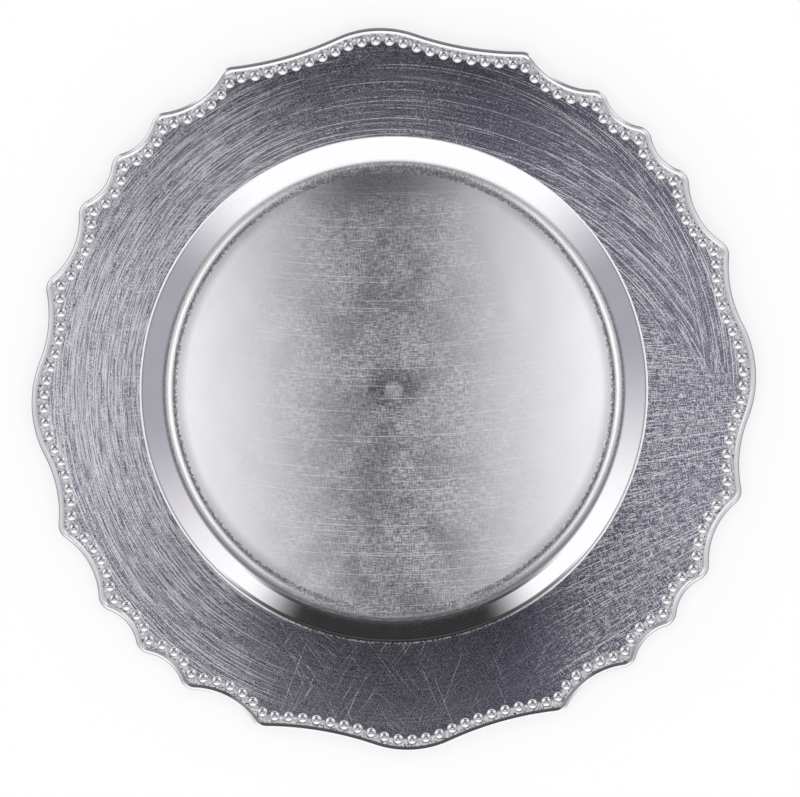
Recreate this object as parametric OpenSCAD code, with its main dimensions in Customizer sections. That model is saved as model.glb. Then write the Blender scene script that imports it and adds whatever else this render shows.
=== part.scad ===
// Charger plate: a moulded under-plate with a scalloped, beaded border and a leaf finish.
// Millimetres. +Z is up, the origin is the middle of the foot's plane, the two side lobes lie on X.

/* [Outline] */
// Diameter of the circle that every lobe and point of the border touches
plate_d = 330; // [300:1:360]
// Radius of the two lobes on the X axis
side_lobe_r = 51.7; // [46:0.1:57]
// Radius of the two lobes on the Y axis
end_lobe_r = 47.5; // [42:0.1:53]
// Radius that rounds each point between two scallops
point_r = 7.2; // [6:0.1:9]
// Angle from the X axis to the middle point of each group of five
group_angle = 42.7; // [41:0.1:44]
// Angle from a group's middle point to the points next to it
near_angle = 9.35; // [8.5:0.05:10.5]
// Angle from a group's middle point to its last points
far_angle = 22.8; // [21.5:0.1:24]
// Radius of the hollow beside a side lobe
side_flank_r = 56.3; // [45:0.1:75]
// Radius of the hollow beside an end lobe
end_flank_r = 155.6; // [120:0.1:200]
// Radius of the two scallops beside a group's middle point
near_scallop_r = 19.6; // [17:0.1:25]
// Radius of the two outer scallops of a group
far_scallop_r = 34.6; // [28:0.1:45]

/* [Section] */
// Diameter of the flat floor of the well
floor_d = 199; // [150:1:230]
// Distance in plan from the floor's edge to the mouth of the well, where the rim begins
wall_run = 16.5; // [14:0.5:24]
// Radius of the gentle curve at the floor's edge
dish_r = 40; // [30:1:50]
// Slope where the gentle curve meets the hollow one, in degrees
dish_angle = 7; // [4:0.5:10]
// Radius of the hollow curve from there to the wall
fillet_r = 6; // [4:0.5:8]
// Slope of the well's wall above level, in degrees
wall_angle = 40; // [30:1:48]
// Radius of the rounded edge from wall to rim
edge_r = 5; // [3.5:0.1:8]
// Slope of the rim at the mouth of the well, in degrees
rim_angle = 10; // [5:0.5:14]
// Thickness of the moulded body
body_t = 2.2; // [1.6:0.1:2.8]
// Thickness of the leaf with its base coat and lacquer
leaf_t = 0.3; // [0.2:0.05:0.4]

/* [Foot] */
// Distance from the floor's edge in to the foot ring
foot_inset = 6; // [1:0.5:30]
// Width of the foot ring
foot_w = 4; // [2:0.5:8]
// Height of the foot ring below the floor's underside
foot_h = 2; // [0.6:0.1:3]

/* [Border] */
// Width of the raised lip along the outline
lip_w = 2.6; // [2.2:0.1:3]
// Slope of the lip's two flanks, in degrees
lip_angle = 36; // [28:1:42]
// Radius that rounds the lip's crest
crest_r = 0.7; // [0.4:0.05:1]
// Diameter of a bead at its base
bead_d = 4.9; // [3.8:0.1:5.3]
// Height of a bead above the border
bead_h = 1.3; // [0.9:0.1:2]
// Distance from the outline to the line of bead centres
bead_inset = 5.6; // [5.4:0.1:6.4]
// Distance wanted from one bead to the next along their line
bead_pitch = 6.4; // [5.8:0.1:8]
// Bare border left inside the beads
bead_margin = 0.3; // [0.2:0.1:1]

/* [Hidden] */
$fn = 96;

// Straight steps that stand for each kind of arc
lobe_steps = 6;
point_steps = 3;
hollow_steps = 5;
dish_steps = 3;
fillet_steps = 7;
edge_steps = 6;
rim_steps = 8;
lip_steps = 4;

// Least corner radius where an inset has used up a point's own radius
corner_r = 0.2;
// Flat border left between the rim's curve and the leaf's edge
flat_margin = 0.5;
// Room past the outline that a cut reaches
cut_room = 2;

plate_r = plate_d / 2;
floor_r = floor_d / 2;
mouth_r = floor_r + wall_run;
foot_r = floor_r - foot_inset;
skin_t = body_t + leaf_t;
border_w = bead_inset + bead_d / 2 + bead_margin;

// The outline is a ring of round lobes and points, all touching one circle, joined by hollows.
points_in_half = 12;
round_count = 2 * points_in_half;
quarter_angles = [
    0,
    group_angle - far_angle,
    group_angle - near_angle,
    group_angle,
    group_angle + near_angle,
    group_angle + far_angle,
    90,
];
quarter_hollows = [
    side_flank_r,
    far_scallop_r,
    near_scallop_r,
    near_scallop_r,
    far_scallop_r,
    end_flank_r,
];
end_index = len(quarter_angles) - 1;

function unit(a) = [cos(a), sin(a)];
function direction(v) = atan2(v.y, v.x);
function turn(a) = a - 360 * floor((a + 180) / 360);
function wrapped(k) = (k + round_count) % round_count;

// Where two circles cross, on the left of the line from the first centre to the second
function crossing(c1, r1, c2, r2) =
    let (
        gap = norm(c2 - c1),
        along = (gap * gap + r1 * r1 - r2 * r2) / (2 * gap),
        aside = sqrt(r1 * r1 - along * along),
        u = (c2 - c1) / gap
    )
    c1 + u * along + [-u.y, u.x] * aside;

function place_in_half(k) = k % points_in_half;
function round_angle(k) =
    let (m = place_in_half(k), half = floor(k / points_in_half))
    180 * half + (m <= end_index ? quarter_angles[m] : 180 - quarter_angles[points_in_half - m]);
function is_lobe(k) = place_in_half(k) % end_index == 0;
function round_r(k) =
    !is_lobe(k) ? point_r : place_in_half(k) == 0 ? side_lobe_r : end_lobe_r;
function round_centre(k) = (plate_r - round_r(k)) * unit(round_angle(k));
function hollow_r(k) =
    let (m = place_in_half(k))
    quarter_hollows[m < end_index ? m : points_in_half - 1 - m];

round_centres = [for (k = [0 : round_count - 1]) round_centre(k)];

// The hollow after round k touches that round and the next one from outside
function hollow_centre(k) =
    let (j = wrapped(k + 1), r = hollow_r(k))
    crossing(round_centres[j], round_r(j) + r, round_centres[k], round_r(k) + r);

hollow_centres = [for (k = [0 : round_count - 1]) hollow_centre(k)];

// At inset d a round keeps its centre until its radius is used up, then it follows its hollows
function inset_r(k, d) = max(round_r(k) - d, corner_r);
function inset_centre(k, d) =
    let (i = wrapped(k - 1), r = inset_r(k, d))
    round_r(k) - d > corner_r
        ? round_centres[k]
        : crossing(hollow_centres[i], hollow_r(i) + d + r, hollow_centres[k], hollow_r(k) + d + r);

// Points of an arc from angle a by sweep, without its last point
function arc(c, r, a, sweep, steps) =
    [for (s = [0 : steps - 1]) c + r * unit(a + sweep * s / steps)];
function round_arc(k, d) =
    let (
        c = inset_centre(k, d),
        a = direction(hollow_centres[wrapped(k - 1)] - c),
        b = direction(hollow_centres[k] - c)
    )
    arc(c, inset_r(k, d), a, turn(b - a), is_lobe(k) ? lobe_steps : point_steps);
function hollow_arc(k, d) =
    let (
        c = hollow_centres[k],
        a = direction(inset_centre(k, d) - c),
        b = direction(inset_centre(wrapped(k + 1), d) - c)
    )
    arc(c, hollow_r(k) + d, a, turn(b - a), hollow_steps);

// The whole outline, inset by d, as one ring of points
function outline(d) =
    [for (k = [0 : round_count - 1]) each concat(round_arc(k, d), hollow_arc(k, d))];

// The rim's curve runs level just inside the leaf's border
rim_leaf_outline = outline(border_w);
flat_r = min([for (p = rim_leaf_outline) norm(p)]) - flat_margin;
rim_r = (flat_r - mouth_r) / sin(rim_angle);

// Heights of the show side, from the foot up
floor_z = foot_h + skin_t;
dish_centre = [floor_r, floor_z + dish_r];
fillet_centre = dish_centre + (dish_r - fillet_r) * [sin(dish_angle), -cos(dish_angle)];
fillet_end = hollow_point(fillet_centre, fillet_r, wall_angle);
edge_start_r = mouth_r - edge_r * (sin(wall_angle) - sin(rim_angle));
edge_start_z = fillet_end.y + (edge_start_r - fillet_end.x) * tan(wall_angle);
edge_centre = [
    edge_start_r + edge_r * sin(wall_angle),
    edge_start_z - edge_r * cos(wall_angle),
];
mouth_z = edge_centre.y + edge_r * cos(rim_angle);
rim_centre = [flat_r, mouth_z - rim_r * cos(rim_angle)];
border_z = rim_centre.y + rim_r;
underside_z = border_z - skin_t;

// Point on a curve with its centre above or below the surface, at a slope
function hollow_point(c, r, slope) = c + r * [sin(slope), -cos(slope)];
function crest_point(c, r, slope) = c - r * [sin(slope), -cos(slope)];

// The show side at depth d below the surface, zone by zone, as [radius, height]
function dish_curve(d) = [
    for (s = [0 : dish_steps]) hollow_point(dish_centre, dish_r + d, dish_angle * s / dish_steps)
];
function fillet_curve(d) = [
    for (s = [1 : fillet_steps])
        hollow_point(fillet_centre, fillet_r + d, dish_angle + (wall_angle - dish_angle) * s / fillet_steps)
];
function edge_curve(d) = [
    for (s = [0 : edge_steps])
        crest_point(edge_centre, edge_r - d, wall_angle + (rim_angle - wall_angle) * s / edge_steps)
];
function wall_curve(d) = concat(dish_curve(d), fillet_curve(d), edge_curve(d));
function rim_curve(d) = [
    for (s = [0 : rim_steps]) crest_point(rim_centre, rim_r - d, rim_angle * (1 - s / rim_steps))
];
// The first point of the rim's curve is the last of the edge's
function tail(list) = [for (i = [1 : len(list) - 1]) list[i]];
function reversed(list) = [for (i = [len(list) - 1 : -1 : 0]) list[i]];
function show_side(d) = concat([[0, floor_z - d]], wall_curve(d), tail(rim_curve(d)));

// A band of leaf between the surface and the body
function band(top, bottom) = concat(top, reversed(bottom));

// The raised lip is a ridge with straight flanks and a rounded crest
lip_mid = lip_w / 2;
flank_run = lip_mid - crest_r * sin(lip_angle);
crest_centre = [lip_mid, border_z + flank_run * tan(lip_angle) - crest_r * cos(lip_angle)];
// The lip's core is a third of its width, stays this deep under the flanks and is rooted in the body
core_depth = 1.5 * leaf_t;
core_root_z = border_z - leaf_t - body_t / 2;
core_out = lip_w / 3;
core_in = lip_w - core_out;
core_z = border_z + core_out * tan(lip_angle) - core_depth;

// Section of the border's leaf as [inset, height], from the edge's foot over the lip to the rim
lip_curve = [
    for (s = [0 : lip_steps]) crest_point(crest_centre, crest_r, lip_angle * (1 - 2 * s / lip_steps))
];
border_section = concat(
    [[0, underside_z], [0, border_z]],
    lip_curve,
    [
        [lip_w, border_z],
        [border_w, border_z],
        [border_w, border_z - leaf_t],
        [core_in, border_z - leaf_t],
        [core_in, core_z],
        [core_out, core_z],
        [core_out, border_z - leaf_t],
        [leaf_t, border_z - leaf_t],
        [leaf_t, underside_z],
    ]
);

// A section carried round the outline, each of its points at its own inset
module carried(section) {
    rings = [for (p = section) [for (q = outline(p[0])) [q.x, q.y, p[1]]]];
    stations = len(rings[0]);
    count = len(section);
    function at(j, i) = (j % count) * stations + i % stations;
    polyhedron(
        points = [for (ring = rings) each ring],
        faces = [
            for (j = [0 : count - 1])
                for (i = [0 : stations - 1])
                    [at(j, i), at(j, i + 1), at(j + 1, i + 1), at(j + 1, i)]
        ]
    );
}

// The plate's plan, inset by d, from height z0 to z1
module plan(d, z0, z1) {
    translate([0, 0, z0])
        linear_extrude(z1 - z0)
            polygon(outline(d));
}

module revolved(section) {
    rotate_extrude()
        polygon(section);
}

// Dark moulded plate with its foot ring and the core of the raised lip
module plate_body() {
    reach = plate_r + cut_room;
    foot = [
        [foot_r, foot_h],
        [foot_r, 0],
        [foot_r - foot_w, 0],
        [foot_r - foot_w, foot_h],
    ];
    top = concat(show_side(leaf_t), [[reach, border_z - leaf_t]]);
    underside = reversed(concat(tail(show_side(skin_t)), [[reach, underside_z]]));
    color("#2c2c31") {
        intersection() {
            revolved(concat(top, underside, foot, [[0, foot_h]]));
            plan(leaf_t, -cut_room, border_z + cut_room);
        }
        difference() {
            plan(core_out, core_root_z, core_z);
            plan(core_in, core_root_z - cut_room, core_z + cut_room);
        }
    }
}

// Round sheet of leaf on the floor of the well
module well_leaf() {
    color("#cfd1d6")
        translate([0, 0, floor_z - leaf_t])
            cylinder(r = floor_r, h = leaf_t);
}

// Bright band of leaf on the well's wall
module wall_leaf() {
    color("#e4e4e8")
        revolved(band(wall_curve(0), wall_curve(leaf_t)));
}

// Brushed ring of leaf on the rim, out to the border
module rim_leaf() {
    reach = plate_r + cut_room;
    top = concat(rim_curve(0), [[reach, border_z]]);
    bottom = concat(rim_curve(leaf_t), [[reach, border_z - leaf_t]]);
    color("#9a9ca4")
        intersection() {
            revolved(band(top, bottom));
            plan(border_w, mouth_z - cut_room, border_z + cut_room);
        }
}

// Bright leaf on the border, over the lip and down the edge
module border_leaf() {
    color("#d9dade")
        carried(border_section);
}

// Beads along the border, spaced evenly on a line inside the outline, from the X axis on
module bead_row() {
    line = outline(bead_inset);
    count = len(line);
    function step(i) = line[(i + 1) % count] - line[i % count];
    // Distance along the line to each of its points, and back to the first
    reached = [for (i = 0, s = 0; i <= count; s = s + norm(step(i)), i = i + 1) s];
    total = reached[count];
    // As many beads as suit the pitch, the same in each quarter of the plate
    beads = 4 * round(total / bead_pitch / 4);
    function bead_place(s) =
        let (
            i = max([for (j = [0 : count - 1]) if (reached[j] <= s) j]),
            f = (s - reached[i]) / (reached[i + 1] - reached[i])
        )
        line[i] + step(i) * f;
    // The line starts at the side lobe's flank, half the lobe before the X axis
    lobe_half = reached[lobe_steps] / 2;
    color("#ececf0")
        for (b = [0 : beads - 1])
            let (s = lobe_half + b * total / beads, p = bead_place(s % total))
            translate([p.x, p.y, border_z])
                bead();
}

// One bead: the cap of a ball, flat underneath
module bead() {
    base_r = bead_d / 2;
    ball_r = (base_r * base_r + bead_h * bead_h) / (2 * bead_h);
    intersection() {
        translate([0, 0, bead_h - ball_r])
            sphere(r = ball_r, $fn = 48);
        translate([-bead_d, -bead_d, 0])
            cube([2 * bead_d, 2 * bead_d, 2 * bead_h]);
    }
}

plate_body();
well_leaf();
wall_leaf();
rim_leaf();
border_leaf();
bead_row();
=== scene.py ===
"""Charger plate: moulded body, brushed and bright leaf, and a row of beads, dressed for the picture.

Shapes are worked out in millimetres and put into meshes in metres, in the frame of the CAD model.
"""
import math

import bpy
import numpy as np
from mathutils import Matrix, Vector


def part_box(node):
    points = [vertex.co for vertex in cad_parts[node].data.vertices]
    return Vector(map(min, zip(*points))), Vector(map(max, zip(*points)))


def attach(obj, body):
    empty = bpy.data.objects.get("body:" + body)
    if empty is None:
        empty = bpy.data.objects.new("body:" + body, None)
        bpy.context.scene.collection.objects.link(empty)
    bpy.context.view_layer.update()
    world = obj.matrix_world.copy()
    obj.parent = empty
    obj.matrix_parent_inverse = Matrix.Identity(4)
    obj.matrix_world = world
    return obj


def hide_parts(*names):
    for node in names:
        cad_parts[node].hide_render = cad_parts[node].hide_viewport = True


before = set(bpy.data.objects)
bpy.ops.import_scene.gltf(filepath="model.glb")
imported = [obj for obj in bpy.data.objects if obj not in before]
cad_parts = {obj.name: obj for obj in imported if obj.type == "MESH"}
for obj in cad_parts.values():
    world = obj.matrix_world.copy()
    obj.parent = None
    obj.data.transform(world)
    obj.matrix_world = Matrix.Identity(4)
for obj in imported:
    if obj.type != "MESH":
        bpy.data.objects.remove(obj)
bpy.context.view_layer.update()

MM = 0.001


def node_box(node):
    """Lowest and highest corner of a CAD node, in millimetres."""
    low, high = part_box(node)
    return np.array(low) / MM, np.array(high) / MM


# Main sizes, from the CAD nodes
border_low, border_high = node_box("border_leaf")
well_low, well_high = node_box("well_leaf")
PLATE_R = border_high[0]
FLOOR_R = well_high[0]
FLOOR_Z = well_high[2]
LEAF_T = well_high[2] - well_low[2]
BORDER_Z = node_box("rim_leaf")[1][2]
BEAD_TOP_Z = node_box("bead_row")[1][2]
UNDERSIDE_Z = border_low[2]
SKIN_T = BORDER_Z - UNDERSIDE_Z
FOOT_H = FLOOR_Z - SKIN_T

# Sizes that the boxes don't give, the same as in the part's source
SIDE_LOBE_R = 51.7
END_LOBE_R = 47.5
POINT_R = 7.2
GROUP_ANGLE = 42.7
NEAR_ANGLE = 9.35
FAR_ANGLE = 22.8
SIDE_FLANK_R = 56.3
END_FLANK_R = 155.6
NEAR_SCALLOP_R = 19.6
FAR_SCALLOP_R = 34.6
CORNER_R = 0.2
WALL_RUN = 16.5
DISH_R = 40.0
DISH_ANGLE = math.radians(7)
FILLET_R = 6.0
WALL_ANGLE = math.radians(40)
EDGE_R = 5.0
RIM_ANGLE = math.radians(10)
FLAT_MARGIN = 0.5
FOOT_INSET = 6.0
FOOT_W = 4.0
FOOT_ROUND = 0.5
LIP_W = 2.6
LIP_ANGLE = math.radians(36)
CREST_R = 0.7
BEAD_R = 2.45
BEAD_INSET = 5.6
BEAD_PITCH = 6.4
BEAD_MARGIN = 0.3
BEAD_POWER = 2.4
BORDER_W = BEAD_INSET + BEAD_R + BEAD_MARGIN

# Points of each arc of the outline, of the turned curves and of a bead
ARC_STEPS = 16
DISH_STEPS = 8
FILLET_STEPS = 14
EDGE_STEPS = 12
RIM_STEPS = 14
CREST_STEPS = 6
TURN_STATIONS = 288
BEAD_SIDES = 14
BEAD_ROWS = 5


def unit(angle):
    """Points of the unit circle at these angles."""
    return np.stack([np.cos(angle), np.sin(angle)], axis=-1)


def bearing(v):
    """Angle of each plan vector."""
    return np.arctan2(v[..., 1], v[..., 0])


def crossing(c1, r1, c2, r2):
    """Where pairs of circles cross, on the left of the line from the first centre to the second."""
    gap = np.linalg.norm(c2 - c1, axis=-1)
    along = (gap ** 2 + r1 ** 2 - r2 ** 2) / (2 * gap)
    aside = np.sqrt(np.maximum(r1 ** 2 - along ** 2, 0))
    u = (c2 - c1) / gap[:, None]
    v = np.stack([-u[:, 1], u[:, 0]], axis=-1)
    return c1 + u * along[:, None] + v * aside[:, None]


# The outline's rounds all touch one circle; a hollow joins each round to the next
quarter_angles = np.array([
    0,
    GROUP_ANGLE - FAR_ANGLE,
    GROUP_ANGLE - NEAR_ANGLE,
    GROUP_ANGLE,
    GROUP_ANGLE + NEAR_ANGLE,
    GROUP_ANGLE + FAR_ANGLE,
])
quarter_hollows = np.array([
    SIDE_FLANK_R,
    FAR_SCALLOP_R,
    NEAR_SCALLOP_R,
    NEAR_SCALLOP_R,
    FAR_SCALLOP_R,
    END_FLANK_R,
])
quarter_rounds = np.array([SIDE_LOBE_R] + [POINT_R] * 5)
half_angles = np.concatenate([quarter_angles, [90], 180 - quarter_angles[:0:-1]])
half_rounds = np.concatenate([quarter_rounds, [END_LOBE_R], quarter_rounds[:0:-1]])
half_hollows = np.concatenate([quarter_hollows, quarter_hollows[::-1]])
ROUND_ANGLES = np.radians(np.concatenate([half_angles, half_angles + 180]))
ROUND_R = np.tile(half_rounds, 2)
HOLLOW_R = np.tile(half_hollows, 2)
ROUND_CENTRES = unit(ROUND_ANGLES) * (PLATE_R - ROUND_R)[:, None]
HOLLOW_CENTRES = crossing(
    np.roll(ROUND_CENTRES, -1, axis=0),
    np.roll(ROUND_R, -1) + HOLLOW_R,
    ROUND_CENTRES,
    ROUND_R + HOLLOW_R,
)


def arcs(centres, radii, start, end):
    """Points on arcs, one arc in each row, from the start angle to just before the end angle."""
    sweep = (end - start + np.pi) % (2 * np.pi) - np.pi
    share = np.arange(ARC_STEPS) / ARC_STEPS
    angles = start[:, None] + sweep[:, None] * share[None]
    return centres[:, None] + unit(angles) * radii[:, None, None]


def scalloped_ring(inset):
    """The outline at one inset, in plan.

    Round arcs lose the inset from their radius and hollow arcs gain it. A round that is used up
    keeps a small corner radius, with its centre where its two hollows, grown by it, cross.
    """
    rounds = np.maximum(ROUND_R - inset, CORNER_R)
    before = np.roll(HOLLOW_CENTRES, 1, axis=0)
    before_r = np.roll(HOLLOW_R, 1)
    between = crossing(before, before_r + inset + rounds, HOLLOW_CENTRES, HOLLOW_R + inset + rounds)
    used_up = ROUND_R - inset <= CORNER_R
    centres = np.where(used_up[:, None], between, ROUND_CENTRES)
    after = np.roll(centres, -1, axis=0)
    round_arcs = arcs(centres, rounds, bearing(before - centres), bearing(HOLLOW_CENTRES - centres))
    hollow_arcs = arcs(
        HOLLOW_CENTRES,
        HOLLOW_R + inset,
        bearing(centres - HOLLOW_CENTRES),
        bearing(after - HOLLOW_CENTRES),
    )
    return np.concatenate([round_arcs, hollow_arcs], axis=1).reshape(-1, 2)


def raised(plan, z):
    """Plan points lifted to one height."""
    return np.column_stack([plan, np.full(len(plan), z)])


# Section of the show side, from the floor's edge to the level border, as radius and height
MOUTH_R = FLOOR_R + WALL_RUN
RIM_EDGE = scalloped_ring(BORDER_W)
FLAT_R = np.linalg.norm(RIM_EDGE, axis=1).min() - FLAT_MARGIN
RIM_R = (FLAT_R - MOUTH_R) / math.sin(RIM_ANGLE)


def crest(centre, radius, slopes):
    """Points of a curve that bulges upwards, at these slopes."""
    return centre + radius * np.stack([-np.sin(slopes), np.cos(slopes)], axis=-1)


def hollow(centre, radius, slopes):
    """Points of a curve that sags, at these slopes."""
    return centre - radius * np.stack([-np.sin(slopes), np.cos(slopes)], axis=-1)


DISH_CENTRE = np.array([FLOOR_R, FLOOR_Z + DISH_R])
FILLET_CENTRE = hollow(DISH_CENTRE, DISH_R - FILLET_R, DISH_ANGLE)
FILLET_END = hollow(FILLET_CENTRE, FILLET_R, WALL_ANGLE)
EDGE_START_R = MOUTH_R - EDGE_R * (math.sin(WALL_ANGLE) - math.sin(RIM_ANGLE))
EDGE_START = np.array([
    EDGE_START_R,
    FILLET_END[1] + (EDGE_START_R - FILLET_END[0]) * math.tan(WALL_ANGLE),
])
EDGE_CENTRE = crest(EDGE_START, -EDGE_R, WALL_ANGLE)
RIM_CENTRE = np.array([FLAT_R, BORDER_Z - RIM_R])


def wall_section(depth):
    """Gentle curve, fillet, straight wall and rounded edge, at a depth below the surface."""
    return np.concatenate([
        hollow(DISH_CENTRE, DISH_R + depth, np.linspace(0, DISH_ANGLE, DISH_STEPS + 1)),
        hollow(FILLET_CENTRE, FILLET_R + depth, np.linspace(DISH_ANGLE, WALL_ANGLE, FILLET_STEPS + 1)[1:]),
        crest(EDGE_CENTRE, EDGE_R - depth, np.linspace(WALL_ANGLE, RIM_ANGLE, EDGE_STEPS + 1)),
    ])


def rim_section(depth):
    """The rim's long curve, from its steep end at the mouth to level."""
    return crest(RIM_CENTRE, RIM_R - depth, np.linspace(RIM_ANGLE, 0, RIM_STEPS + 1))


def ring_quads(rows, stations, closed=False):
    """Four-cornered faces between rings of points; closed joins the last ring to the first."""
    row = np.arange(rows if closed else rows - 1)[:, None]
    here = np.arange(stations)[None]
    after = (here + 1) % stations
    below = row * stations
    above = (row + 1) % rows * stations
    return np.stack([below + here, below + after, above + after, above + here], -1).reshape(-1, 4)


def fan(pole, ring):
    """Triangles from one point to each step of a ring."""
    return np.column_stack([np.full(len(ring), pole), ring, np.roll(ring, -1)])


def make_piece(name, points, *faces, sharp=35):
    """A smooth mesh from points in millimetres and arrays of faces, with edges sharp past an angle."""
    mesh = bpy.data.meshes.new(name)
    mesh.from_pydata((points * MM).tolist(), [], [face for group in faces for face in group.tolist()])
    mesh.validate()
    mesh.shade_smooth()
    mesh.set_sharp_from_angle(angle=math.radians(sharp))
    piece = bpy.data.objects.new(name, mesh)
    bpy.context.scene.collection.objects.link(piece)
    return piece


def on_circles(section, stations):
    """A section of radii and heights turned round the plate's axis, one ring for each point."""
    turn = unit(2 * np.pi * np.arange(stations) / stations)
    flat = section[:, 0][:, None, None] * turn[None]
    height = np.broadcast_to(section[:, 1][:, None, None], flat.shape[:2] + (1,))
    return np.concatenate([flat, height], axis=-1)


def closed_band(name, rings):
    """Rings of points, the last joined to the first."""
    return make_piece(name, rings.reshape(-1, 3), ring_quads(*rings.shape[:2], closed=True))


def closed_disc(name, rings, first_z, last_z):
    """Rings of points with a pole on the axis below the first and past the last."""
    rows, stations = rings.shape[:2]
    points = np.concatenate([rings.reshape(-1, 3), [[0, 0, first_z], [0, 0, last_z]]])
    ring = np.arange(stations)
    pole = rows * stations
    return make_piece(
        name,
        points,
        ring_quads(rows, stations),
        fan(pole, ring[::-1]),
        fan(pole + 1, ring + (rows - 1) * stations),
    )


def make_well_leaf():
    """A disc: out along the underside, then rings at even steps of radius back over the top."""
    radii = np.linspace(FLOOR_R, 0, 25)[:-1]
    top = np.stack([radii, np.full_like(radii, FLOOR_Z)], -1)
    section = np.concatenate([[[FLOOR_R, FLOOR_Z - LEAF_T]], top])
    return closed_disc("well_sheet", on_circles(section, TURN_STATIONS), FLOOR_Z - LEAF_T, FLOOR_Z)


def make_wall_leaf():
    """The wall's section below by a leaf's thickness, then back on top, turned round the axis."""
    section = np.concatenate([wall_section(LEAF_T), wall_section(0)[::-1]])
    return closed_band("wall_band", on_circles(section, TURN_STATIONS))


def make_rim_leaf():
    """Rings of the rim's curve and then the scalloped ring, underneath and back on top.

    Each station keeps its own bearing from the circles out to the scalloped ring.
    """
    turn = unit(bearing(RIM_EDGE))
    top, bottom = (
        [raised(r * turn, z) for r, z in rim_section(depth)] + [raised(RIM_EDGE, BORDER_Z - depth)]
        for depth in (0, LEAF_T)
    )
    return closed_band("rim_ring", np.stack(bottom + top[::-1]))


def make_border_leaf():
    """Edge, ridged lip, channel and border as one closed section carried round the outline.

    The ridge has straight flanks that meet a rounded crest. Each point keeps its inset as an attribute.
    """
    middle = LIP_W / 2
    flank_run = middle - CREST_R * math.sin(LIP_ANGLE)
    crest_z = BORDER_Z + flank_run * math.tan(LIP_ANGLE) - CREST_R * math.cos(LIP_ANGLE)
    section = np.concatenate([
        [[0, UNDERSIDE_Z], [0, BORDER_Z]],
        crest(np.array([middle, crest_z]), CREST_R, np.linspace(LIP_ANGLE, -LIP_ANGLE, CREST_STEPS + 1)),
        [
            [LIP_W, BORDER_Z],
            [BEAD_INSET, BORDER_Z],
            [BORDER_W, BORDER_Z],
            [BORDER_W, BORDER_Z - LEAF_T],
            [LEAF_T, BORDER_Z - LEAF_T],
            [LEAF_T, UNDERSIDE_Z],
        ],
    ])
    rings = np.stack([raised(scalloped_ring(inset), z) for inset, z in section])
    piece = closed_band("border_wrap", rings)
    inset = piece.data.attributes.new("inset", "FLOAT", "POINT")
    inset.data.foreach_set("value", np.repeat(section[:, 0], rings.shape[1]))
    return piece


def make_plate_body():
    """The rounded foot ring, the underside, the edge, and the show side a leaf down.

    Circles near the axis and the scalloped ring outside share one bearing at each station.
    """
    edge = scalloped_ring(LEAF_T)
    turn = unit(bearing(edge))
    foot_r = FLOOR_R - FOOT_INSET
    quarter = np.linspace(0, np.pi / 2, 5)
    outer = np.stack([
        foot_r - FOOT_ROUND * (1 - np.cos(quarter)),
        FOOT_ROUND * (1 - np.sin(quarter)),
    ], -1)
    inner = np.stack([2 * foot_r - FOOT_W - outer[:, 0], outer[:, 1]], -1)
    foot = np.concatenate([[[foot_r - FOOT_W, FOOT_H]], inner, outer[::-1], [[foot_r, FOOT_H]]])
    under = np.concatenate([foot, wall_section(SKIN_T), rim_section(SKIN_T)[1:]])
    top = np.concatenate([wall_section(LEAF_T), rim_section(LEAF_T)[1:]])[::-1]
    rings = [raised(r * turn, z) for r, z in under]
    rings += [raised(edge, UNDERSIDE_Z), raised(edge, BORDER_Z - LEAF_T)]
    rings += [raised(r * turn, z) for r, z in top]
    return closed_disc("moulded_plate", np.stack(rings), FOOT_H, FLOOR_Z - LEAF_T)


def bead_places():
    """Bead centres at even steps of length along their line, the same in each quarter."""
    line = scalloped_ring(BEAD_INSET)
    steps = np.linalg.norm(np.roll(line, -1, axis=0) - line, axis=1)
    reached = np.concatenate([[0], np.cumsum(steps)])
    total = reached[-1]
    count = 4 * round(total / BEAD_PITCH / 4)
    wanted = (reached[ARC_STEPS] / 2 + total * np.arange(count) / count) % total
    closed = np.concatenate([line, line[:1]])
    return np.stack([np.interp(wanted, reached, closed[:, k]) for k in (0, 1)], -1)


def make_bead_row():
    """Domes whose height falls with a power of the radius, from a flat crown to a steep foot."""
    height = BEAD_TOP_Z - BORDER_Z
    share = np.linspace(1, 0, BEAD_ROWS + 1)[:-1]
    section = np.stack([BEAD_R * share, height * (1 - share ** BEAD_POWER)], -1)
    rings = on_circles(section, BEAD_SIDES).reshape(-1, 3)
    cap = np.concatenate([rings, [[0, 0, height], [0, 0, 0]]])
    ring = np.arange(BEAD_SIDES)
    triangles = np.concatenate([
        fan(len(rings), ring + (BEAD_ROWS - 1) * BEAD_SIDES),
        fan(len(rings) + 1, ring[::-1]),
    ])
    places = raised(bead_places(), BORDER_Z)
    shift = (np.arange(len(places)) * len(cap))[:, None, None]
    return make_piece(
        "bead_caps",
        (cap[None] + places[:, None]).reshape(-1, 3),
        (ring_quads(BEAD_ROWS, BEAD_SIDES)[None] + shift).reshape(-1, 4),
        (triangles[None] + shift).reshape(-1, 3),
        sharp=60,
    )


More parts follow.
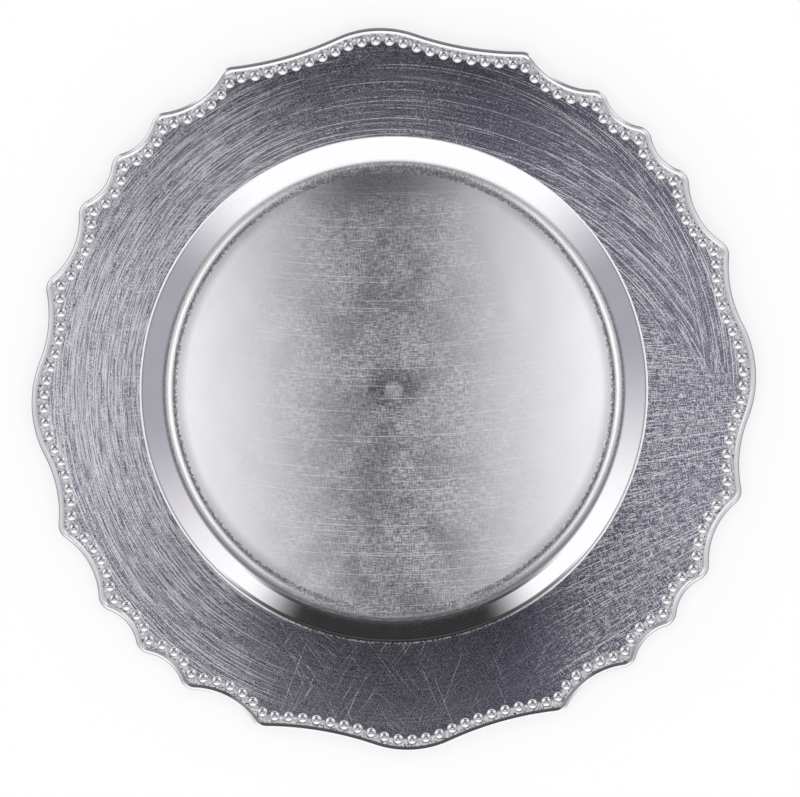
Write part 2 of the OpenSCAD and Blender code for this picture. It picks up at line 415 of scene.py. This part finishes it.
class Wire:
    """A socket in a node tree. Arithmetic on it adds Math nodes; add makes any other node."""

    def __init__(self, tree, socket=None):
        self.tree = tree
        self.socket = socket

    def add(self, kind, settings=None, inputs=None, out=0):
        """A new node of this kind, with its settings made and its sockets fed, as one of its outputs."""
        node = self.tree.nodes.new(kind)
        for name, value in (settings or {}).items():
            setattr(node, name, value)
        for name, value in (inputs or {}).items():
            if isinstance(value, Wire):
                self.tree.links.new(value.socket, node.inputs[name])
            else:
                node.inputs[name].default_value = value
        return Wire(self.tree, node.outputs[out])

    def math(self, operation, *values):
        return self.add("ShaderNodeMath", {"operation": operation}, dict(enumerate(values)))

    def __add__(self, other):
        return self.math("ADD", self, other)

    __radd__ = __add__

    def __sub__(self, other):
        return self.math("SUBTRACT", self, other)

    def __rsub__(self, other):
        return self.math("SUBTRACT", other, self)

    def __mul__(self, other):
        return self.math("MULTIPLY", self, other)

    __rmul__ = __mul__

    def __truediv__(self, other):
        return self.math("DIVIDE", self, other)

    def __abs__(self):
        return self.math("ABSOLUTE", self)

    def step(self, low, high):
        """0 below low, 1 above high, smooth between."""
        return self.add(
            "ShaderNodeMapRange",
            {"interpolation_type": "SMOOTHSTEP"},
            {"Value": self, "From Min": low, "From Max": high},
        )

    def split(self):
        """The three parts of a vector."""
        node = self.add("ShaderNodeSeparateXYZ", inputs={"Vector": self}).socket.node
        return [Wire(self.tree, socket) for socket in node.outputs]

    def blend(self, first, second):
        """A colour between two, with this value as the share of the second."""
        return self.add(
            "ShaderNodeMix",
            {"data_type": "RGBA"},
            {"Factor": self, "A": first, "B": second},
            "Result",
        )


def finish(name):
    """A new material; returns it, its shader and the place on the object in millimetres."""
    material = bpy.data.materials.new(name)
    material.use_nodes = True
    shader = material.node_tree.nodes["Principled BSDF"]
    wire = Wire(material.node_tree)
    spot = wire.add("ShaderNodeTexCoord", out="Object")
    place = wire.add("ShaderNodeVectorMath", {"operation": "SCALE"}, {0: spot, "Scale": 1 / MM})
    return material, shader, place


def feed(shader, **links):
    """Links wires to a shader's sockets, with spaces for underscores in their names."""
    for name, wire in links.items():
        wire.tree.links.new(wire.socket, shader.inputs[name.replace("_", " ")])


def streaks(u, v, length, width, start, detail=2.0):
    """Noise drawn out along u: streaks of this length and width."""
    spot = u.add("ShaderNodeCombineXYZ", inputs={"X": u / length + start, "Y": v / width + 0.7 * start})
    return u.add(
        "ShaderNodeTexNoise",
        {"noise_dimensions": "2D"},
        {"Vector": spot, "Scale": 1.0, "Detail": detail, "Roughness": 0.6},
    )


def ruled(u, v, spacing, width, length, scarce, start):
    """Hairlines along u, 0 to 1: one in each band of v, at a chance place in it, in broken lengths."""
    band = u.math("FLOOR", v / spacing)
    lot = u.add("ShaderNodeTexWhiteNoise", {"noise_dimensions": "1D"}, {"W": band + start}, "Value")
    off_line = abs(v - (band + 0.1 + 0.8 * lot) * spacing)
    broken = streaks(u, 7.3 * band, length, 1.0, start, 1.0)
    return (1 - off_line.step(0.4 * width, width)) * broken.step(scarce, scarce + 0.08)


def cloud(place, size, detail=2.0):
    """Even noise with patches of this size."""
    return place.add(
        "ShaderNodeTexNoise",
        {"noise_dimensions": "3D"},
        {"Vector": place, "Scale": 1 / size, "Detail": detail},
    )


def bump(height, depth):
    """A normal from a height of 0 to 1 that stands for this depth in millimetres."""
    return height.add("ShaderNodeBump", inputs={"Height": height, "Distance": depth * MM}, out="Normal")


def polar(x, y, radius):
    """Millimetres along the circle of this radius from the x axis, and the distance from the origin."""
    return radius * x.math("ARCTAN2", y, x), x.math("SQRT", x * x + y * y)


def on_sides(y, radius, start, end):
    """1 on the plate's left and right, 0 at its top and bottom: |y| over radius fades it out."""
    return 1 - (abs(y) / radius).step(start, end)


def band(value, centre, inner, outer):
    """1 within the inner distance of a centre, 0 beyond the outer one."""
    return 1 - abs(value - centre).step(inner, outer)


def scratches(x, y, turn, length, scarce):
    """Straight scratches along one bearing in degrees, 0 to 1."""
    c, s = math.cos(math.radians(turn)), math.sin(math.radians(turn))
    return ruled(x * c + y * s, y * c - x * s, 2.2, 0.15, length, scarce, turn)


# Leaf colours: bright and dull metal, the well's leaf between and in its strokes, and worn leaf
BRIGHT = (0.90, 0.895, 0.91, 1)
DULL = (0.84, 0.835, 0.85, 1)
SMOOTH = (0.80, 0.795, 0.825, 1)
STROKED = (0.97, 0.965, 0.975, 1)
WORN_GREY = (0.5, 0.5, 0.525, 1)
WORN_DARK = (0.145, 0.145, 0.21, 1)
WORN_LIGHT = (0.96, 0.95, 0.985, 1)

# The moulding where the leaf is worn through, which painted shade also blends towards, and in its own
# light and dark patches
BARE_AND_SHADE = (0.05, 0.05, 0.055, 1)
MOULDING_DARK = (0.022, 0.022, 0.026, 1)
MOULDING_LIGHT = (0.04, 0.04, 0.045, 1)

# The brushed leaf spreads light square to its strokes, which run round the plate
STRETCH = 1.0
STRETCH_TURN = 0.25

# The bow of the well's long strokes, lowest a little right of the middle
BOW_X = 15.0
BOW_R = 400.0

# The mark that the mould's gate leaves in the middle of the well
GATE_R = 3.5
GATE_RING_R = 14.0

# The patch at the top of the well that the brush hardly reached: its middle, and where it fades
PATCH_X = 10.0
PATCH_FADE_X = (20, 60)
PATCH_FADE_Y = (82, 95)

# Where |y| over radius is past the first value, a spot counts as top or bottom, fully past the second
SIDES = (0.75, 0.96)
CREASE_SIDES = (0.2, 0.8)

# The well's painted shade at its edge; the painted shade in the crease at the foot of the wall, as two
# fades
SHADED_EDGE_W = 5.0
CREASE_R = FLOOR_R + np.array([5.0, 5.4, 6.0, 6.8])
PITS_FADE_R = FLOOR_R + np.array([4.7, 5.8])

# The painted highlight along the wall's top edge, and two painted shade lines along the wall's foot and
# edge at the bottom
HIGHLIGHT_EDGE_W = 1.0
FOOT_LINE_R = FLOOR_R + 7.25
EDGE_LINE_R = EDGE_START_R + 0.6
LINE_FADE = (0.45, 0.85)
LINE_FADE_Y = (-95, -75)

# Zones of the rim, in millimetres, each from where its fade starts to where it ends; some carry painted
# light and some painted shade
RIM_RIGHT_X = (10, 50)
RIM_UPPER = (20, 36)
RIM_UPPER_SLANT = 0.85
RIM_UPPER_X = 115.0
RIM_ARC_REACH = (134, 148)
RIM_BOTTOM_Y = (-105, -60)
RIM_BOTTOM_X = (50, 95)
RIM_TOP_Y = (80, 120)
RIM_TOP_MIDDLE = 15.0
RIM_TOP_X = (40, 90)
RIM_LEFT_X = (-130, -80)
RIM_LEFT_Y = (20, 75)
RIM_UPPER_LEFT_Y = (20, 60)
RIM_UPPER_LEFT_X = (-100, -40)
RIM_SCUFF_Y = (-90, -40)
RIM_OVERSHOOT = (4, 22)

# Strokes of the rim: circles round the plate, a wider bow and a fan, each with a radius for its lengths
RIM_ARC_R = 130.0
RIM_BOW_CENTRE = (-11.5, -62.0)
RIM_BOW_R = 180.0
RIM_FAN_CENTRE = (273.0, -14.0)
RIM_FAN_R = 150.0

# Scratches on the bottom of the rim rise or fall at these bearings; strays cross the whole rim
RISING_TURNS = (60, 49)
FALLING_TURNS = (-39, -56)
STRAY_TURNS = (66, -71)

# The lip: painted shade lines on the left and right, and painted shade on its back at the bottom
LIP_SIDES_X = (70, 130)
LIP_BACK_Y = (-135, -95)
LIP_LINE_W = (0.2, 0.6)


def well_brushing(place, x, y):
    """Depth of the well's strokes, 0 to 1: across on a shallow bow, crossed by short upright ones.

    Near the top of the well they fade into specks.
    """
    bowed = y - (x - BOW_X) * (x - BOW_X) / (2 * BOW_R)
    level = streaks(x, bowed, 4, 0.5, 3).step(0.35, 0.7)
    upright = streaks(y, x, 3.5, 0.5, 57).step(0.35, 0.7)
    grain = cloud(place, 0.45, 1.0).step(0.3, 0.7)
    long = ruled(x, bowed, 2.8, 0.22, 70, 0.5, 31)
    patch = cloud(place, 20).step(0.3, 0.7)
    radius = polar(x, y, 1)[1]
    gate = 1 - radius.step(0.5 * GATE_R, 1.5 * GATE_R)
    gate_ring = radius.step(GATE_R, 1.5 * GATE_R) * (1 - radius.step(0.6 * GATE_RING_R, GATE_RING_R))
    weave = (0.7 + 0.6 * patch) * (0.3 * level + 0.27 * upright + 0.2 * grain) + 0.35 * long
    smooth = y.step(*PATCH_FADE_Y) * band(x, PATCH_X, *PATCH_FADE_X)
    specks = grain * grain * grain * smooth
    return weave * (1 - 0.85 * smooth) + 0.35 * specks + 0.13 * gate - 0.13 * gate_ring


def well_finish():
    """Straight-brushed leaf, nearly a mirror between strokes, with painted shade at its left and right
    edge.
    """
    material, shader, place = finish("brushed_well_leaf")
    shader.inputs["Metallic"].default_value = 1.0
    x, y = place.split()[:2]
    depth = well_brushing(place, x, y)
    radius = polar(x, y, 1)[1]
    # Painted shade: the leaf darkens towards the floor's edge on the left and right
    painted_shade = radius.step(FLOOR_R - SHADED_EDGE_W, FLOOR_R) * on_sides(y, radius, *SIDES)
    feed(
        shader,
        Base_Color=(0.35 * painted_shade).blend(depth.blend(SMOOTH, STROKED), BARE_AND_SHADE),
        Roughness=0.062 + 0.15 * depth,
        Normal=bump(cloud(place, 24, 1.0), 0.03),
    )
    return material


def wall_finish():
    """Bright leaf. The well's strokes and small pits run on over its gentle curve at top and bottom.

    On the left and right it has a fine grain and dark specks near the floor, and painted shade darkens
    the crease at the foot of the wall; there the edge at its top has a painted white highlight, too.
    Elsewhere a little dust lies in the crease, and a few matt spots mark the top edge. At the bottom
    painted shade makes its foot and its edge dark lines.
    """
    material, shader, place = finish("bright_wall_leaf")
    x, y = place.split()[:2]
    radius = polar(x, y, 1)[1]
    patch = cloud(place, 6)
    grain = cloud(place, 0.5, 1.0)
    coarse = cloud(place, 1.0, 1.0)
    crossed = on_sides(y, radius, *SIDES)
    ends = 1 - crossed
    on_curve = 1 - radius.step(CREASE_R[0] - 1.5, CREASE_R[0])
    near_floor = (1 - radius.step(CREASE_R[0], CREASE_R[2])) * crossed
    # Painted shade: a broken dark line in the crease at the wall's foot, strongest on the left and right
    crease_shade = radius.step(*CREASE_R[:2]) * (1 - radius.step(*CREASE_R[2:])) * coarse.step(0.35, 0.5)
    worn = crease_shade * on_sides(y, radius, *CREASE_SIDES)
    speckled = 0.2 + 0.8 * coarse.step(0.44, 0.56)
    specks = (1 - radius.step(FLOOR_R + 0.8, FLOOR_R + 2.8)) * speckled * crossed
    # Painted highlight: a matt white line along the wall's top edge on the left and right; a few matt
    # spots elsewhere
    edge = radius.step(MOUTH_R - HIGHLIGHT_EDGE_W, MOUTH_R - 0.7 * HIGHLIGHT_EDGE_W)
    rubbed = edge * (crossed + 0.25 * coarse.step(0.4, 0.6) * ends)
    dust = coarse.step(0.52, 0.66) * ends * band(radius, CREASE_R[1], 0.5, 4.5)
    brushing = well_brushing(place, x, y)
    strokes = brushing * on_curve * ends
    inside = 1 - radius.step(*PITS_FADE_R)
    pits = (1 - brushing.step(0.25, 0.6)) * coarse.step(0.3, 0.6) * ends * inside
    # Painted shade: dark lines along the wall's foot and edge at the bottom
    shade_lines = band(radius, FOOT_LINE_R, *LINE_FADE) + band(radius, EDGE_LINE_R, *LINE_FADE)
    shade = shade_lines * (1 - y.step(*LINE_FADE_Y))
    foot = band(radius, CREASE_R[1], 0.8, 2.2)
    leaf = (0.6 * patch + 0.4 * grain).blend(BRIGHT, DULL)
    dark = 0.35 * worn + 0.55 * specks + 0.5 * pits + 0.85 * shade
    feed(
        shader,
        Base_Color=dark.blend(leaf, BARE_AND_SHADE),
        Metallic=1 - 0.85 * rubbed - 0.14 * dust,
        Roughness=0.07 + 0.04 * patch + 0.12 * strokes + 0.2 * foot,
        Normal=bump(grain * near_floor, 0.012),
    )
    return material


def brushed(u, v, start, dark_share):
    """Brushing along u about a middle of 0: dense fine strokes, and long hairlines further apart."""
    grain = streaks(u, v, 11, 0.4, start).step(0.25, 0.75)
    light = ruled(u, v, 1.5, 0.26, 50, 0.5, start + 3)
    dark = ruled(u, v, 1.4, 0.28, 50, 0.48, start + 23)
    return 0.8 * (grain - 0.5) + light - dark_share * dark, ruled(u, v, 4.2, 0.22, 120, 0.48, start + 11)


def linen(u, v, start):
    """A weave of short strokes along u and across it about a middle of 0, and hairlines further apart."""
    along = streaks(u, v, 4, 0.45, start).step(0.3, 0.7)
    across = streaks(v, u, 3.5, 0.45, start + 7).step(0.3, 0.7)
    light = ruled(u, v, 2.4, 0.2, 30, 0.5, start + 3)
    return 0.75 * along + 0.6 * across - 0.68 + 0.7 * light, ruled(u, v, 4.2, 0.22, 120, 0.48, start + 11)


def rim_brushing(place, x, y):
    """Tone and scratches of the rim.

    Strokes follow the rim on its left half, and near the border on its upper right. Inside that they
    run there on a wider bow, and past a slanting boundary on the lower right they are a weave that
    fans out from a point beyond the rim. The bottom is smooth and scratched, and short strokes from
    the well run past the wall's edge. The tone has painted light on the left and upper left, and painted
    shade on the right, the top and the bottom.
    """
    right = x.step(*RIM_RIGHT_X)
    upper = (y + RIM_UPPER_SLANT * (x - RIM_UPPER_X)).step(*RIM_UPPER)
    bottom = (1 - y.step(*RIM_BOTTOM_Y)) * (1 - abs(x).step(*RIM_BOTTOM_X))
    top = y.step(*RIM_TOP_Y) * band(x, RIM_TOP_MIDDLE, *RIM_TOP_X)
    left = (1 - x.step(*RIM_LEFT_X)) * (1 - abs(y).step(*RIM_LEFT_Y))
    upper_left = y.step(*RIM_UPPER_LEFT_Y) * (1 - x.step(*RIM_UPPER_LEFT_X))
    arc, reach = polar(0 - x, y, RIM_ARC_R)
    bow_arc, bow_reach = polar(x - RIM_BOW_CENTRE[0], y - RIM_BOW_CENTRE[1], RIM_BOW_R)
    fan_arc, fan_reach = polar(RIM_FAN_CENTRE[0] - x, y - RIM_FAN_CENTRE[1], RIM_FAN_R)
    arcs_dense, arcs_far = brushed(arc, reach, 5, 0.25)
    bow_dense, bow_far = brushed(bow_arc, bow_reach, 17, 0.6)
    fan_dense, fan_far = linen(fan_reach, fan_arc, 29)
    off_arcs = right * (1 - upper * reach.step(*RIM_ARC_REACH))
    dense = arcs_dense * (1 - off_arcs) + (bow_dense * upper + fan_dense * (1 - upper)) * off_arcs
    far = arcs_far * (1 - off_arcs) + (bow_far * upper + fan_far * (1 - upper)) * off_arcs
    cluster = cloud(place, 24).step(0.45, 0.55)
    rising = scratches(x, y, RISING_TURNS[0], 55, 0.51) + scratches(x, y, RISING_TURNS[1], 55, 0.51)
    falling = scratches(x, y, FALLING_TURNS[0], 55, 0.51) + scratches(x, y, FALLING_TURNS[1], 55, 0.51)
    fans = (rising * cluster + falling * (1 - cluster)) * (1 - 0.6 * x.step(-10, 30)) * bottom
    scuffed = rising * right * (1 - y.step(*RIM_SCUFF_Y)) * (1 - bottom)
    near_wall = 1 - reach.step(MOUTH_R + RIM_OVERSHOOT[0], MOUTH_R + RIM_OVERSHOOT[1])
    overshoot = ruled(x, y, 1.3, 0.2, 16, 0.5, 83) * near_wall
    strays = scratches(x, y, STRAY_TURNS[0], 40, 0.66) + scratches(x, y, STRAY_TURNS[1], 40, 0.66)
    speckle = cloud(place, 0.45, 1.0).step(0.3, 0.7) - 0.5
    # Painted light on the left and upper left, painted shade on the right, top and bottom
    painted_rim_light = 0.13 * left + 0.09 * upper_left
    painted_rim_shade = (0.14 + 0.08 * upper) * right + 0.15 * top + 0.17 * bottom
    stroke = 1.2 * dense * (1 - 0.65 * top) + 0.8 * far + 0.5 * overshoot * (1 - top)
    tone = 0.4 + painted_rim_light - painted_rim_shade + stroke * (1 - 0.9 * bottom) + (0.85 - 0.4 * bottom) * speckle
    return tone, 0.6 * fans + 0.4 * scuffed + 0.8 * strays


def rim_finish():
    """Brushed leaf on the rim, with paler scratches that are part matt."""
    material, shader, place = finish("brushed_rim_leaf")
    shader.inputs["Anisotropic"].default_value = STRETCH
    shader.inputs["Anisotropic Rotation"].default_value = STRETCH_TURN
    x, y = place.split()[:2]
    tone, scratch = rim_brushing(place, x, y)
    feed(
        shader,
        Base_Color=(tone + 0.4 * scratch).blend(WORN_DARK, WORN_LIGHT),
        Metallic=1 - scratch.math("MINIMUM", 0.3 * scratch, 0.5),
        Roughness=0.2 + 0.04 * tone,
        Normal=bump(tone, 0.004),
    )
    return material


def border_finish():
    """Bright leaf on the lip, rubbed matt behind it, and brushed like the rim inside the beads.

    Where the channel behind the lip is worn through, it shows dark specks of the moulding. On the left
    and right painted shade makes the outer edge and the groove behind the lip dark lines, and at the
    bottom painted shade darkens the back of the lip.
    """
    material, shader, place = finish("bright_border_leaf")
    shader.inputs["Anisotropic"].default_value = STRETCH
    shader.inputs["Anisotropic Rotation"].default_value = STRETCH_TURN
    x, y = place.split()[:2]
    inset = place.add("ShaderNodeAttribute", {"attribute_name": "inset"}, out="Fac")
    flat = inset.step(LIP_W - 0.3, LIP_W + 0.2)
    inner = inset.step(BEAD_INSET - 0.5, BEAD_INSET + 1.2)
    worn = cloud(place, 0.9, 1.0)
    specks = worn.step(0.57, 0.63) * flat * (1 - inset.step(LIP_W + 0.9, LIP_W + 1.9))
    mottle = cloud(place, 1.3).step(0.3, 0.6) * flat
    tone = rim_brushing(place, x, y)[0]
    matt = flat * (1 - inner)
    bright = mottle.blend(cloud(place, 4).blend(BRIGHT, DULL), WORN_GREY)
    leaf = inner.blend(bright, tone.blend(WORN_DARK, WORN_LIGHT))
    # Painted shade: dark lines at the lip's outer edge and groove on the left and right, where the lip is
    # part matt too, and on the lip's back at the bottom
    sides = abs(x).step(*LIP_SIDES_X)
    shade_lines = 0.2 * band(inset, LIP_W, *LIP_LINE_W) + 0.7 * (1 - inset.step(*LIP_LINE_W))
    back_shade = inset.step(0.45 * LIP_W, 0.6 * LIP_W) * (1 - flat) * (1 - y.step(*LIP_BACK_Y))
    feed(
        shader,
        Base_Color=(specks + shade_lines * sides + 0.75 * back_shade).blend(leaf, BARE_AND_SHADE),
        Metallic=1 - 0.5 * matt - 0.35 * sides * (1 - flat),
        Roughness=0.13 + 0.2 * matt + 0.08 * inner,
        Normal=bump(worn * matt, 0.06),
    )
    return material


def bead_finish():
    """Bright leaf on the beads, with a painted shade line round the foot of each."""
    material, shader, place = finish("bright_bead_leaf")
    shader.inputs["Metallic"].default_value = 0.92
    rubbed = cloud(place, 4)
    z = place.split()[2]
    # Painted shade: a dark line round the foot of each bead
    painted_shade = 1 - z.step(BORDER_Z + 0.05, BORDER_Z + 0.3)
    feed(
        shader,
        Base_Color=(0.5 * painted_shade).blend(rubbed.blend(BRIGHT, DULL), BARE_AND_SHADE),
        Roughness=0.06 + 0.08 * rubbed,
        Normal=bump(cloud(place, 1.2), 0.012),
    )
    return material


def body_finish():
    """Dark moulded plastic with a satin, faintly clouded skin."""
    material, shader, place = finish("dark_moulding")
    patch = cloud(place, 12)
    grain = cloud(place, 0.5, 1.0)
    feed(
        shader,
        Base_Color=patch.blend(MOULDING_DARK, MOULDING_LIGHT),
        Roughness=0.38 + 0.2 * patch,
        Normal=bump(grain, 0.01),
    )
    return material


def dress(piece, node, material):
    """The piece takes its material and slot, rides with the plate and stands for its CAD node."""
    piece.data.materials.append(material)
    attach(piece, "root")
    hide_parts(node)


dress(make_plate_body(), "plate_body", body_finish())
dress(make_well_leaf(), "well_leaf", well_finish())
dress(make_wall_leaf(), "wall_leaf", wall_finish())
dress(make_rim_leaf(), "rim_leaf", rim_finish())
dress(make_border_leaf(), "border_leaf", border_finish())
dress(make_bead_row(), "bead_row", bead_finish())

# Camera straight above, turned so that the plate sits in the frame as photographed
ROLL = math.radians(-2.996)
CAMERA_H = 1.35
FRAME_PX = 800
PLATE_PX = 362.6
OFF_LEFT_PX = 6.15
OFF_UP_PX = 8.48
SENSOR = 36.0


def make_camera():
    """Lens length from the plate's size in the frame at the border's height."""
    data = bpy.data.cameras.new("overhead_camera")
    data.sensor_width = SENSOR
    data.sensor_fit = "HORIZONTAL"
    frame_width = FRAME_PX / PLATE_PX * PLATE_R * MM
    data.lens = SENSOR * (CAMERA_H - BORDER_Z * MM) / frame_width
    data.shift_x = OFF_LEFT_PX / FRAME_PX
    data.shift_y = -OFF_UP_PX / FRAME_PX
    camera = bpy.data.objects.new("overhead_camera", data)
    camera.location = (0, 0, CAMERA_H)
    camera.rotation_euler = (0, 0, ROLL)
    bpy.context.scene.collection.objects.link(camera)
    bpy.context.scene.camera = camera


# The studio floor in metres: level in the middle, then a sweep up; and the share shown as plain white
FLOOR_REACH = 6.0
SWEEP_R = 1.5
SWEEP_H = 1.0
FLOOR_STATIONS = 96
FLOOR_GREY = (0.88, 0.88, 0.88, 1)
FLOOR_WHITE = 0.72


def make_floor():
    """A pale round floor, level to the foot of a sweep, then curved up as a quarter circle."""
    rise = np.linspace(0, np.pi / 2, 13)[1:]
    section = np.concatenate([
        [[r, 0] for r in np.linspace(0.4, FLOOR_REACH - SWEEP_R, 8)],
        np.stack([FLOOR_REACH - SWEEP_R + SWEEP_R * np.sin(rise), SWEEP_H * (1 - np.cos(rise))], -1),
    ]) / MM
    rings = on_circles(section[::-1], FLOOR_STATIONS)
    points = np.concatenate([rings.reshape(-1, 3), [[0, 0, 0]]])
    middle = fan(len(points) - 1, np.arange(FLOOR_STATIONS) + (len(section) - 1) * FLOOR_STATIONS)
    floor = make_piece("studio_floor", points, ring_quads(len(section), FLOOR_STATIONS), middle)
    material = bpy.data.materials.new("pale_floor")
    material.use_nodes = True
    tree = material.node_tree
    shader = tree.nodes["Principled BSDF"]
    shader.inputs["Base Color"].default_value = FLOOR_GREY
    shader.inputs["Roughness"].default_value = 0.9
    shader.inputs["Specular IOR Level"].default_value = 0.1
    wire = Wire(tree)
    path = wire.add("ShaderNodeLightPath").socket.node
    seen = [Wire(tree, path.outputs[n]) for n in ("Is Camera Ray", "Is Glossy Ray", "Is Transmission Ray")]
    shown = wire.math("MINIMUM", seen[0] + seen[1] + seen[2], 1.0)
    glow = wire.add("ShaderNodeEmission", inputs={"Color": (1, 1, 1, 1), "Strength": 1.0})
    mixed = wire.add(
        "ShaderNodeMixShader",
        inputs={0: shown * FLOOR_WHITE, 1: Wire(tree, shader.outputs[0]), 2: glow},
    )
    tree.links.new(mixed.socket, tree.nodes["Material Output"].inputs["Surface"])
    floor.data.materials.append(material)


# What the metal reflects: the dark room, panels beside the camera, and cards and a flag near the floor
DARK_ROOM = (0.05, 0.049, 0.06, 1)
DIM_SIDES = (0.22, 0.215, 0.235, 1)
PANEL = (1.35, 1.34, 1.35, 1)
GREY_CARD = (0.44, 0.425, 0.48, 1)
WHITE_CARD = (1.15, 1.14, 1.15, 1)
BLACK_FLAG = (0.03, 0.03, 0.031, 1)
FRONT_CARD = (0.36, 0.355, 0.375, 1)

# Angles of the studio in degrees. Across and along are counted from the gap behind the camera
GAP_ACROSS = -0.14
GAP_ALONG = -1.5
PANEL_NEAR = (0.3, 2.8)
PANEL_FAR = (1.5, 6)
PANEL_EDGE = (12, 17)
PANEL_END = (5, 9.5)
ROOM_FADE = (14, 26)
CARDS_FADE = (36, 56)
BOTTOM_CARD_RISE = 22

# Bearing of the middle of each card, then the angles to its side over which it fades
TOP_CARD = (97, 48, 95)
BOTTOM_CARD = (-93, 34, 62)
FLAG = (87, 22, 37)

# Heights of the card in front of the flag, off the top of the dome
FRONT_UPPER = (42, 52)
FRONT_LOWER = (68, 72.5)


def studio_dome():
    """Soft light: a panel on each side of the camera, and cards round the plate near the floor.

    Angles are in degrees: across to the right, along to the top, off the top of the dome, and round
    it from the right. Each panel grows brighter away from the camera. A black flag stands at the top
    of the picture, with a dim card in front of its upper part.
    """
    world = bpy.data.worlds.new("studio_dome")
    world.use_nodes = True
    bpy.context.scene.world = world
    tree = world.node_tree
    wire = Wire(tree)
    x, y, z = wire.add("ShaderNodeTexCoord", out="Generated").split()
    flat = wire.math("SQRT", x * x + y * y + 0.0001)

    def card(centre, start, end):
        """1 at one bearing, fading to its sides."""
        along_it = x * math.cos(math.radians(centre)) + y * math.sin(math.radians(centre))
        off = wire.math("DEGREES", wire.math("ARCCOSINE", along_it / flat))
        return 1 - off.step(start, end)

    across = abs(wire.math("DEGREES", wire.math("ARCTAN2", x, z)) - GAP_ACROSS)
    along = abs(wire.math("DEGREES", wire.math("ARCTAN2", y, z)) - GAP_ALONG)
    off_top = wire.math("DEGREES", wire.math("ARCCOSINE", z))
    glow = 0.5 * across.step(*PANEL_NEAR) + 0.5 * across.step(*PANEL_FAR)
    panels = glow * (1 - across.step(*PANEL_EDGE)) * (1 - along.step(*PANEL_END))
    top_card = card(*TOP_CARD)
    bottom_card = card(*BOTTOM_CARD)
    flag = card(*FLAG)
    white = bottom_card.blend(top_card.blend(GREY_CARD, WHITE_CARD), WHITE_CARD)
    cards = flag.blend(white, BLACK_FLAG)
    room = off_top.step(*ROOM_FADE).blend(DARK_ROOM, flag.blend(DIM_SIDES, BLACK_FLAG))
    low = (off_top + BOTTOM_CARD_RISE * bottom_card).step(*CARDS_FADE)
    front = flag * off_top.step(*FRONT_UPPER) * (1 - off_top.step(*FRONT_LOWER))
    light = front.blend(low.blend(panels.blend(room, PANEL), cards), FRONT_CARD)
    background = tree.nodes["Background"]
    tree.links.new(light.socket, background.inputs["Color"])
    background.inputs["Strength"].default_value = 1.0


# The soft lamp, in metres and watts
LAMP_W = 1.6
LAMP_H = 1.9
LAMP_POWER = 26.0


def make_lamp():
    """One wide soft lamp above the camera, for the floor and the moulding; the metal shows the panels."""
    data = bpy.data.lights.new("soft_lamp", "AREA")
    data.size = LAMP_W
    data.energy = LAMP_POWER
    lamp = bpy.data.objects.new("soft_lamp", data)
    lamp.location = (0, 0, LAMP_H)
    lamp.visible_glossy = False
    lamp.visible_camera = False
    bpy.context.scene.collection.objects.link(lamp)


make_camera()
make_floor()
make_lamp()
studio_dome()
bpy.context.scene.view_settings.view_transform = "Standard"
